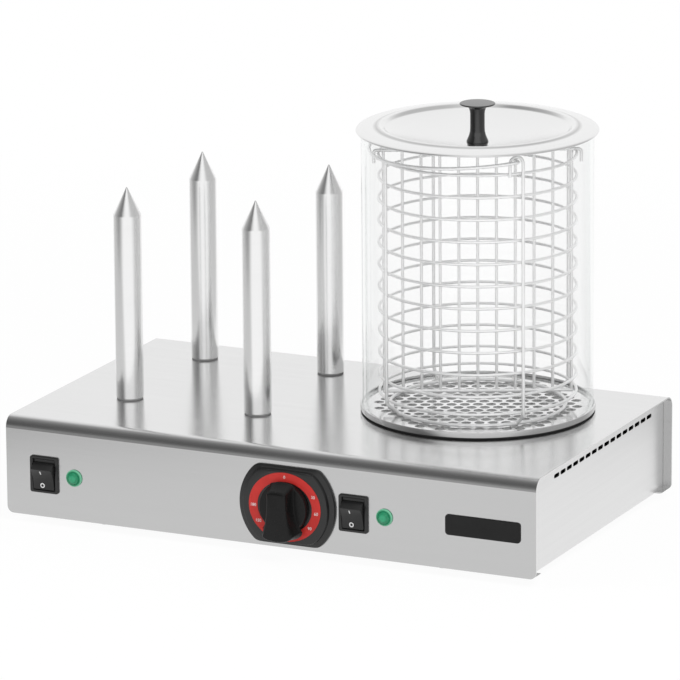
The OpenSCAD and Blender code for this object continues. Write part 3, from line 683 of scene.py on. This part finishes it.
def makeDivider(s):
    place = onColumn(column.turn)
    low, top, wide, h = s.barLow, s.barTop, s.barSpan, s.hook
    grid = Shape()
    end = top - s.hookDrop
    hooks = [(-h, 0, end), (-h, 0, top), (h, 0, top), (h, 0, end)]
    grid.tube(eased(hooks, s.hookRound, 6), s.wire, place=place)
    reach = wide + s.barOver
    grid.tube([(-reach, 0, low), (reach, 0, low)], s.wire, place=place)
    for i in range(s.bars):
        x = -wide + i * 2 * wide / (s.bars - 1)
        grid.tube([(x, 0, low), (x, 0, top)], s.barWire, 12, place=place)
        grid.blob((x, 0, low), s.wire + s.bead, place)
        grid.blob((x, 0, top), s.wire + s.bead, place)
    grid.piece("divider-grid", "wire", "bright_wire", ["divider"], "basket")


def makeBail(s):
    tilt = Matrix.Rotation(math.radians(s.slope), 4, "X")
    place = onColumn(column.turn + s.pivotTurn - 90, s.pivot) @ tilt
    steps = s.bailSteps
    spots = (turned(180 + 180 * k / steps) for k in range(steps + 1))
    loop = [(s.bail * c, s.bail * sn, 0) for c, sn in spots]
    inner = s.leg - 2 * s.wire
    bail = Shape()
    bail.tube(eased([(-inner, 0, 0)] + loop + [(inner, 0, 0)], s.bailRound, 5), s.wire, place=place)
    bail.piece("bail-handle", "wire", "bright_wire", ["bail"], "handle")


makeBasket(basketSizes)
makeDivider(basketSizes)
makeBail(basketSizes)
print("basket made")

# thermostat dial
dialSizes = Settings(
    face=6.7, scaleOut=(33.7, 30.3), scaleIn=(25.6, 22.4), scaleTop=7, steps=144,
    # half width, half height, squareness and level of each loop of the plate
    plate=[(45, 34.3, 40, 0.05), (45, 34.3, 40, 1.9), (44.7, 34, 40, 2.6), (44, 33.3, 36, 3),
        (41.4, 32.4, 24, 3.1), (40.4, 31.9, 24, 3.6), (39.9, 31.6, 24, 5.6), (39.4, 31.3, 24, 6.4),
        (38.6, 30.8, 24, 6.7), (33, 30.4, 24, 6.7), (22, 22, 60, 6.7), (22, 22, 60, 3.4)],
    marks=[("0", 0), ("30", 64), ("60", 96), ("90", 128), ("120", 161), ("150", 237), ("180", 268)],
    markSize=3.8, markThick=0.04, markSteps=6, markLift=0.02,
    knobLow=7.3, skirt=5, shaft=3.1, skirtEdge=0.4, skirtRise=0.1, skirtEase=0.7, skirtSides=128,
    skirtTop=[(-0.7, -0.7), (-1.4, 0)],  # out and up from the skirt's upper edge
    # finger grip, each from its base to its front face
    grip=dict(head=(10.3, 8.6), top=(20, 15), tail=(17.2, 13), end=(-19, -22), flare=(3.4, 2.6),
        bulge=(7.5, 4.4), crown=(1.8, 1.4)),
    # share of the way to the front face, growth, and height from the skirt or the front
    gripFoot=[(0, 1.4, -1), (0, 0.7, 0.2), (0.03, 0.25, 1), (0.1, 0, 2.2)],
    gripWall=[0.4, 0.7],
    gripFront=[(0.9, -0.1, -1.2), (0.97, -0.4, -0.5), (1, -0.9, -0.12), (1, -1.6, 0)],
    pointer=(1.3, 10, 0.5), pointerThick=0.2, pointerEdge=0.18, pointerUp=6.5,
)


def dialLoop(half, high, power, level, steps):
    made = []
    for k in range(steps):
        c, s = turned(360 * k / steps)
        r = ((1 / half) ** power + (abs(s) / high) ** power) ** (-1 / power)
        made.append((r * c, r * s, level))
    return made


def gripLoop(s, share, grow, level):
    # outline of the finger grip: narrow head, flared sides and a round tail
    g = Settings((key, base + (front - base) * share) for key, (base, front) in s.grip.items())
    side = []
    for k in range(13):
        q = k / 12
        half = g.head + (g.tail - g.head) * q ** g.flare + grow
        side.append((half, g.top + (g.end - g.top) * q))
    (narrow, top), (wide, end) = side[0], side[-1]
    tail = [(wide * c, end - (g.bulge + grow) * sn) for c, sn in map(turned, range(15, 180, 15))]
    head = [(-narrow * c, top + (g.crown + grow) * sn) for c, sn in (turned(22.5 * k) for k in range(1, 8))]
    loop = side + tail + [(-u, v) for u, v in side[::-1]] + head
    return [(u, v, level) for u, v in loop]


def lettering(s, words, place):  # small printed figures, each lying on its face
    shape = Shape()
    for text, spot in words:
        curve = bpy.data.curves.new("figure", "FONT")
        curve.body, curve.size, curve.align_x, curve.align_y = text, s.markSize, "CENTER", "CENTER"
        curve.extrude, curve.resolution_u = s.markThick, s.markSteps
        holder = bpy.data.objects.new("figure", curve)
        bpy.context.scene.collection.objects.link(holder)
        bpy.context.view_layer.update()
        graph = bpy.context.evaluated_depsgraph_get()
        mesh = bpy.data.meshes.new_from_object(holder.evaluated_get(graph))
        shape.add([v.co for v in mesh.vertices], [list(p.vertices) for p in mesh.polygons], place @ spot)
        bpy.data.objects.remove(holder)
        bpy.data.curves.remove(curve)
        bpy.data.meshes.remove(mesh)
    return shape


def makeDial(s):
    place = onWall(span("dial_bezel")[2].x, housing.controlZ)
    plate = Shape()
    plate.loft([dialLoop(*row, s.steps) for row in s.plate], place)
    plate.piece("dial-plate", "satinBlack", "black_satin", ["dial_bezel"])

    ring = Shape()
    out, inside, n = s.scaleOut, s.scaleIn, s.steps
    rows = [ellipse(*inside, s.face, n), ellipse(*out, s.face, n)]
    rows += [ellipse(*out, s.scaleTop, n), ellipse(*inside, s.scaleTop, n)]
    ring.loft(rows, place, (False, False), True)
    ring.piece("dial-scale", "printedRed", "dial_red", ["dial_ring"])
    words = []
    for text, angle in s.marks:
        c, sn = turned(90 - angle)
        u, v = (out[0] + inside[0]) / 2 * c, (out[1] + inside[1]) / 2 * sn
        words.append((text, moved(u, v, s.scaleTop + s.markLift)))
    lettering(s, words, place).piece("dial-numbers", "printedPale", "dial_red")

    knob = Shape()
    r, low, high = span("dial_knob")[3].x / 2, s.knobLow, housing.frontY - span("dial_knob")[0].y
    skirt, edge = low + s.skirt, s.skirtEdge
    line = [(s.shaft, low), (r - edge, low), (r, low + edge)]
    line += around(r, skirt, s.skirtTop) + [(0, skirt + s.skirtRise)]
    knob.lathe(eased(line, s.skirtEase), s.skirtSides, place=place)
    rows = [(share, grow, skirt + up) for share, grow, up in s.gripFoot]
    rows += [(share, 0.0, skirt + (high - skirt) * share) for share in s.gripWall]
    rows += [(share, grow, high + up) for share, grow, up in s.gripFront]
    knob.loft([gripLoop(s, *row) for row in rows], place)
    thick, spot = s.pointerThick, place @ moved(0, s.pointerUp, 0)
    softBlock(knob, *s.pointer, high - thick, high + thick, s.pointerEdge, spot)
    knob.piece("dial-grip", "gripBlack", "black_satin", ["dial_knob"], "dial")


makeDial(dialSizes)
print("dial made")

# rocker switches and pilot lamps
switchSizes = Settings(
    # growth, corner radius and height from the front of each loop
    seat=0.03, corner=2, rim=[(0, 2, -0.7), (-0.3, 1.9, -0.25), (-0.9, 1.7, 0)],
    mouth=[(1.6, 1.2, 0), (0.4, 0.8, -0.5), (0, 0.6, -1.4)],
    pocketW=20.6, pocketH=27.2, pocketDeep=8, pocketCorner=0.6,
    bodyW=22.1, bodyH=29.7, bodyDeep=24, bodyCorner=0.6, bodyEdge=0.4, floor=0.5,
    tabs=(-9, 0, 9), tab=(6.4, 0.8, 0.2), tabIn=0.1,
    rockerW=20, pivot=5, out=11.2, face=10.2, faceSteps=8, dip=1.8, tilt=18, heel=(1.2, -3),
    shoulder=(2, 2), ease=0.8, sides=[(0, 0.7), (0.25, 0.2), (0.8, 0)],  # in from the side, and cut
    draft=12, cutAbove=4, pin=1.5, pinReach=0.9, pinEase=0.2,
    bar=(1, 3.4, 6.3), barCorner=0.2, zero=(1.25, 2.15, -6.5), shift=1, sink=-0.3, proud=0.1,
)
lampSizes = Settings(
    dome=5.4, domeLow=1.7, domeRows=7, sweep=84, flat=0.28, flutes=18, fluteDeep=0.035, ease=0.5, sides=72,
    rim=[(0, 0.03), (0, 1.2), (-1.1, 2)],  # out from the lens and from the panel
    moat=[(0.3, 2), (0, 1.8)],  # out from the dome and from the panel
)


def rockerFace(s, v):
    return s.out - s.dip * (1 - (v / s.face) ** 2)


def makeSwitch(s, side):
    node = "switch_" + side
    low, high, middle, size = span(node)
    place = onWall(middle.x, middle.z)
    w, h, t = size.x, size.z, housing.frontY - low.y
    pw, ph, deep = s.pocketW, s.pocketH, -s.pivot - s.pocketDeep
    rows = [(w, h, s.corner, s.seat)]
    rows += [(w + grow, h + grow, corner, t + up) for grow, corner, up in s.rim]
    rows += [(pw + grow, ph + grow, corner, t + up) for grow, corner, up in s.mouth]
    rows.append((pw, ph, s.pocketCorner, deep))
    body = Shape()
    body.loft([roundRect(*row) for row in rows], place)
    back = -s.bodyDeep
    softBlock(body, s.bodyW, s.bodyH, s.bodyCorner, back, deep - s.floor, s.bodyEdge, place)
    for up in s.tabs:
        ends = (housing.frontY - high.y, back + s.tabIn)
        body.loft([roundRect(*s.tab, level) for level in ends], place @ moved(0, up, 0))
    body.piece("switch-frame-" + side, "satinBlack", "black_satin", [node])
    return place @ moved(0, 0, -s.pivot) @ Matrix.Rotation(math.radians(s.tilt), 4, "X")


def makeRocker(s, side, place):
    f, steps = s.face, s.faceSteps
    face = [(f * k / steps, rockerFace(s, f * k / steps)) for k in range(-steps, steps + 1)]
    (heelIn, heelZ), (outV, outZ) = s.heel, s.shoulder
    outline = [(f - heelIn, heelZ), (heelIn - f, heelZ), (-f - outV, outZ)] + face + [(f + outV, outZ)]
    outline = eased(outline, s.ease, 3, True)
    half = s.rockerW / 2
    rows = [(-half + inward, cut) for inward, cut in s.sides]
    rows += [(half - inward, cut) for inward, cut in s.sides[::-1]]
    sections = []
    for u, cut in rows:
        share = 1 - cut / s.draft
        sections.append([(u, v * share, w - cut * (w > s.cutAbove)) for v, w in outline])
    rocker = Shape()
    rocker.loft(sections, place)
    along = Matrix.Rotation(math.pi / 2, 4, "Y")
    reach = half + s.pinReach
    rocker.lathe(peg(s.pin, -reach, reach, s.pinEase, 2), 24, place=place @ along)
    body = side + "_rocker"
    rocker.piece("rocker-cap-" + side, "rockerBlack", "black_satin", ["rocker_" + side], body)

    signs = Shape()
    w, h, v = s.bar
    bar = [(x - s.shift, y + v) for x, y, _ in roundRect(w, h, s.barCorner, 0)]
    levels = (s.sink, s.proud)
    signs.loft([[(x, y, rockerFace(s, y) + lift) for x, y in bar] for lift in levels], place)
    inner, outer, v = s.zero
    rows = []
    for r, lift in ((inner, levels[0]), (outer, levels[0]), (outer, levels[1]), (inner, levels[1])):
        spots = [(r * c - s.shift, v + r * sn) for c, sn in map(turned, range(0, 360, 10))]
        rows.append([(x, y, rockerFace(s, y) + lift) for x, y in spots])
    signs.loft(rows, place, (False, False), True)
    signs.piece("rocker-signs-" + side, "printedPale", "black_satin", body=body)


def makeLamp(s, side):
    middle, size = span("lamp_" + side)[2:]
    place = onWall(middle.x, middle.z)
    r, d, low, top = size.x / 2, s.dome, s.domeLow, size.y
    lens = Shape()
    line = around(r, 0, s.rim) + around(d, 0, s.moat)
    line = [(0, line[0][1])] + line + [(0, line[-1][1])]
    lens.lathe(eased(line, s.ease), s.sides, place=place)
    rows = []
    for k in range(s.domeRows + 1):
        c, sn = turned(s.sweep * k / s.domeRows)
        rows.append([])
        for j in range(s.flutes * 4):
            angle = 90 * j / s.flutes
            u, v = turned(angle)
            wide = d * (s.flat + (1 - s.flat) * c) * (1 - s.fluteDeep * wave(angle, s.flutes))
            rows[-1].append((wide * u, wide * v, low + (top - low) * sn))
    lens.loft(rows, place)
    paint = "greenLens" + side.capitalize()
    paints[paint] = lensPlastic(paint, lensLook, middle)
    lens.piece("lens-" + side, paint, "green_lens", ["lamp_" + side])


for side in ("left", "right"):
    makeRocker(switchSizes, side, makeSwitch(switchSizes, side))
    makeLamp(lampSizes, side)
print("switches and lamps made")

# blank plate, feet, screws and the cable gland
plateSizes = Settings(seat=0.03, corner=3, edge=0.45)
footSizes = Settings(low=11, bore=5, neck=2.2, deep=5.2, collar=1.5, ease=0.8, sides=64)
screwSizes = Settings(
    head=4, flat=0.72, brow=(0.3, 0.7), ease=0.8, shank=2, tip=0.5, sides=48, nut=10.4, nutHalf=3.5,
    nutHigh=3.2, nutGap=0.02, nutEdge=0.3, pitDeep=1.3, pitArm=0.16, pitReach=0.62,
)
screwSets = dict(
    foot_screws=Settings(screwSizes, under=5.2, rise=2.6),
    cover_screws=Settings(screwSizes, under=8, rise=2.4),
)
glandSizes = Settings(
    seat=0.03, hex=12, hexDeep=4, hexBevel=(0.8, 0.9), low=10, high=8.5, bore=4.5, mouth=0.9, thread=8,
    threadEdge=0.5, threadEnd=0.2, ribs=14,
    collar=[(0, -0.1, 0), (0, 0.6, 0), (-0.1, 1, 0.5)],  # out, up from the hexagon, depth of the ribs
    crown=[(0.5, 2, 0.5), (0, 1.4, 0), (-0.9, 0, 0)],  # out, down from the end, depth of the ribs
)


def corners(node, dx, dy):  # places a little inside a node's four corners
    low, high = span(node)[:2]
    return [moved(x, y, 0) for x in (low.x + dx, high.x - dx) for y in (low.y + dy, high.y - dy)]


def hexCorner(half):
    return half / turned(30)[0]


def hexagon(half, level):
    reach = hexCorner(half)
    return [(reach * c, reach * s, level) for c, s in map(turned, range(0, 360, 60))]


def crossPit(shape, s, radius, level, place):
    # a cross-shaped recess in a flat round screw head, seen from below
    arm, reach = radius * s.pitArm, radius * s.pitReach
    cross = [(arm, arm), (arm, reach), (-arm, reach), (-arm, arm), (-reach, arm), (-reach, -arm),
             (-arm, -arm), (-arm, -reach), (arm, -reach), (arm, -arm), (reach, -arm), (reach, arm)]
    work = bmesh.new()
    outer = [work.verts.new(p) for p in circle(radius, level, s.sides)]
    inner = [work.verts.new((x, y, level)) for x, y in cross]
    edges = [work.edges.new((loop[i - 1], loop[i])) for loop in (outer, inner) for i in range(len(loop))]
    bmesh.ops.triangle_fill(work, edges=edges, use_beauty=True)
    for face in [f for f in work.faces if all(v in inner for v in f.verts)]:
        work.faces.remove(face)
    deep = [work.verts.new((x, y, level + s.pitDeep)) for x, y in cross]
    for i in range(len(cross)):
        work.faces.new((inner[i - 1], inner[i], deep[i], deep[i - 1]))
    work.faces.new(deep)
    work.verts.index_update()
    shape.add([v.co.copy() for v in work.verts], [[v.index for v in f.verts] for f in work.faces], place)
    work.free()


def makeScrews(node, s):
    start, flat, end = s.under - s.rise, s.head * s.flat, span(node)[1].z
    line = [(flat, start), (s.head - s.brow[0], start + s.brow[1])]
    line = eased(line + [(s.head, s.under), (s.shank, s.under)], s.ease)
    line += [(s.shank, end - s.tip), (s.shank - s.tip, end), (0, end)]
    half, z, top, edge = s.nutHalf, s.nut, s.nut + s.nutHigh, s.nutEdge
    nut = [hexagon(half - edge, z + s.nutGap), hexagon(half, z + edge)]
    nut += [hexagon(half, top - edge), hexagon(half - edge, top)]
    shape = Shape()
    for place in corners(node, hexCorner(half), s.head):  # the nuts and the heads reach furthest
        shape.lathe(line, s.sides, place=place)
        crossPit(shape, s, flat, start, place)
        shape.loft(nut, place)
    shape.piece(node.replace("_", "-"), "zinc", "fastener", [node], crease=25)


def makeFeet(s):
    _, high, _, size = span("feet")
    apart = span("foot_screws")[3].x - 2 * hexCorner(screwSizes.nutHalf)  # between the screws
    wide, top = (size.x - apart) / 2, high.z
    line = [(s.bore, 0), (s.low, 0), (wide, top - s.collar), (wide, top), (s.neck, top)]
    line += [(s.neck, s.deep), (s.bore, s.deep)]
    feet = Shape()
    for place in corners("feet", wide, wide):
        feet.lathe(eased(line, s.ease, close=True), s.sides, True, place)
    feet.piece("rubber-feet", "rubber", "rubber", ["feet"])


def makePlate(s):
    middle, size = span("blank_plate")[2:]
    plate = Shape()
    softBlock(plate, size.x, size.z, s.corner, s.seat, size.y, s.edge, onWall(middle.x, middle.z))
    plate.piece("bare-plate", "plateBlack", "black_gloss", ["blank_plate"])


def makeGland(s):
    low, high, middle = span("cable_gland")[:3]
    reach, inside = high.y - housing.rearY, low.y - housing.rearY
    place = onWall(middle.x, middle.z, housing.rearY, -1)
    flat, bore, thread, mouth, edge = s.hexDeep, s.bore, s.thread, s.mouth, s.threadEdge
    cut, down = s.hexBevel
    gland = Shape()
    hexes = [(s.hex, s.seat), (s.hex, flat - down), (s.hex - cut, flat)]
    gland.loft([hexagon(*row) for row in hexes], place)
    rows = [(s.low + out, flat + up, rib) for out, up, rib in s.collar]
    rows += [(s.high + out, reach - drop, rib) for out, drop, rib in s.crown]
    rows += [(bore + mouth, reach, 0), (bore, reach - mouth, 0), (bore, inside, 0)]
    rows += [(thread - edge, inside, 0), (thread, inside + edge, 0), (thread, s.threadEnd, 0)]
    steps = s.ribs * 6
    loops = []
    for r, level, rib in rows:
        ring = []
        for k in range(steps):
            angle = 360 * k / steps
            wide = r - rib * wave(angle, s.ribs)
            ring.append((wide * turned(angle)[0], wide * turned(angle)[1], level))
        loops.append(ring)
    gland.loft(loops, place, (False, False))
    gland.piece("gland-body", "satinBlack", "black_satin", ["cable_gland"])


makePlate(plateSizes)
makeFeet(footSizes)
for node, sizes in screwSets.items():
    makeScrews(node, sizes)
makeGland(glandSizes)
print("small parts made")

# finishes of the nodes that stay as they are
keptNodes = dict(
    cover="cover", rear_panel="cover", chassis="sides", steam_plate="deck", spike_nuts="zinc",
    spike_heaters="sheath", pan_nuts="zinc", pan_heater="sheath", heater_clamp="zinc", clamp_nut="zinc",
    lid_screw="zinc", thermostat="greyBody", thermostat_shaft="zinc", thermostat_screws="zinc",
    sensor="copper", lamp_bodies="greyBody", gland_nut="satinBlack", terminal_block="ivory",
)
for node, paint in keptNodes.items():
    mesh = nodes[node].data
    mesh.materials.clear()
    mesh.materials.append(paints[paint])
print("kept nodes painted:", len(keptNodes))

# camera, floor and light
cameraLook = Settings(
    place=(2.31812, -4.86399, 1.58507), height=14.8669, roll=-0.4471, lens=341.5, sensor=36, near=0.05,
    far=200,
)
floorLook = Settings(
    tone=0.95, darker=0.97, grain=40, half=15, keep=0.07, rim=0.7, near=0.45, fade=0.15, card=0.72, edge=8,
    side=0.62,
)
skyLook = Settings(
    diffuse=0.66, card=0.83, taper=0.75, edge=3, side=0.56, flag=0.17, flagLift=0.6, flagX=-0.25, flagEdge=8,
)
lampLooks = dict(
    key=dict(place=(1.7, -1.2, 2.3), aim=(0.1, 0, 0.1), size=1.8, power=42),
    fill=dict(place=(-2.2, -1.6, 1.7), aim=(0, 0, 0.15), size=1.8, power=22),
)


def makeCamera(s):
    c, sn = turned(viewTurn)
    ce, se = turned(s.height)
    right = Vector((c, sn, 0))
    back = Vector((sn * ce, -c * ce, se))
    up = back.cross(right)
    cr, sr = turned(s.roll)
    right, up = right * cr + up * sr, up * cr - right * sr
    data = bpy.data.cameras.new("camera")
    data.lens, data.sensor_width, data.clip_start, data.clip_end = s.lens, s.sensor, s.near, s.far
    holder = bpy.data.objects.new("camera", data)
    turn = Matrix((right, up, back)).transposed().to_4x4()
    holder.matrix_world = Matrix.Translation(s.place) @ turn
    bpy.context.scene.collection.objects.link(holder)
    bpy.context.scene.camera = holder


def rayKinds(f):  # camera, glossy and transmission rays
    outputs = f.node("LightPath", {}, {}).socket.node.outputs
    return [Signal(f, outputs[name]) for name in ("Is Camera Ray", "Is Glossy Ray", "Is Transmission Ray")]


def makeFloor(s):
    f = Finish("paleFloor")
    seen, glossy, through = rayKinds(f)
    place = f.place()
    x, y, _ = f.parts(place)
    c, sn = turned(viewTurn)
    far = (x * x + y * y) ** 0.5
    sideways = abs(x * c + y * sn) / (far + mm)
    card = ((s.card - sideways) * s.edge + 0.5).limited()
    away = ((far - s.near) / s.fade).limited()
    dim = away * (1 - card) * (1 - s.side)  # dark boards at both sides
    grain = f.noise(place, s.grain, "grit")
    tone = f.mix(grain, s.tone * s.darker, s.tone)
    matt = f.node("BsdfDiffuse", {}, {"Color": tone})
    white = f.node("Emission", {}, {"Color": 1 - glossy * dim, "Strength": 1.0})
    keep = (1 - (far - s.rim) / s.rim).limited() * s.keep  # the shadow stays near the object
    share = (seen + glossy + through).limited() * (1 - keep)
    both = f.node("MixShader", {}, {0: share, 1: matt, 2: white})
    f.node("OutputMaterial", {}, {"Surface": both})
    square = [(x * s.half, y * s.half, 0) for x, y in ((-1, -1), (1, -1), (1, 1), (-1, 1))]
    mesh = bpy.data.meshes.new("floor")
    mesh.from_pydata(square, [], [(0, 1, 2, 3)])
    mesh.materials.append(f.owner)
    floor = bpy.data.objects.new("floor", mesh)
    bpy.context.scene.collection.objects.link(floor)


def makeSky(s):
    world = bpy.data.worlds.new("studio")
    bpy.context.scene.world = world
    f = Finish("studio", world)
    seen, glossy, through = rayKinds(f)
    x, y, z = f.parts(f.node("TexCoord", {}, {}, "Generated"))
    c, sn = turned(viewTurn)
    sideways = abs(x * c + y * sn)
    card = ((s.card - z * s.taper - sideways) * s.edge + 0.5).limited()  # pale, before and behind
    leftOf = ((s.flagX - x) * s.flagEdge + 0.5).limited()
    flag = (z * s.flagLift - y).limited() * leftOf  # dark board in front, to the left
    level = card + (1 - card) * (s.side - flag * (s.side - s.flag))
    shown = f.node("Background", {}, {"Color": 1 - glossy * (1 - level), "Strength": 1.0})
    light = f.node("Background", {}, {"Color": shade(1.0), "Strength": s.diffuse})
    both = f.node("MixShader", {}, {0: (seen + glossy + through).limited(), 1: light, 2: shown})
    f.node("OutputWorld", {}, {"Surface": both})


def makeLight(name, s):
    data = bpy.data.lights.new(name, "AREA")
    data.shape, data.size, data.energy = "DISK", s.size, s.power
    holder = bpy.data.objects.new(name, data)
    away = Vector(s.place) - Vector(s.aim)
    turn = away.to_track_quat("Z", "Y").to_matrix().to_4x4()
    holder.matrix_world = Matrix.Translation(s.place) @ turn
    holder.visible_glossy = False  # the pale cards give the reflections
    bpy.context.scene.collection.objects.link(holder)


makeCamera(cameraLook)
makeFloor(floorLook)
makeSky(skyLook)
for name, sizes in lampLooks.items():
    makeLight(name, Settings(sizes))
bpy.context.scene.view_settings.view_transform = "Standard"
print("camera, floor and light made")

print("finished")
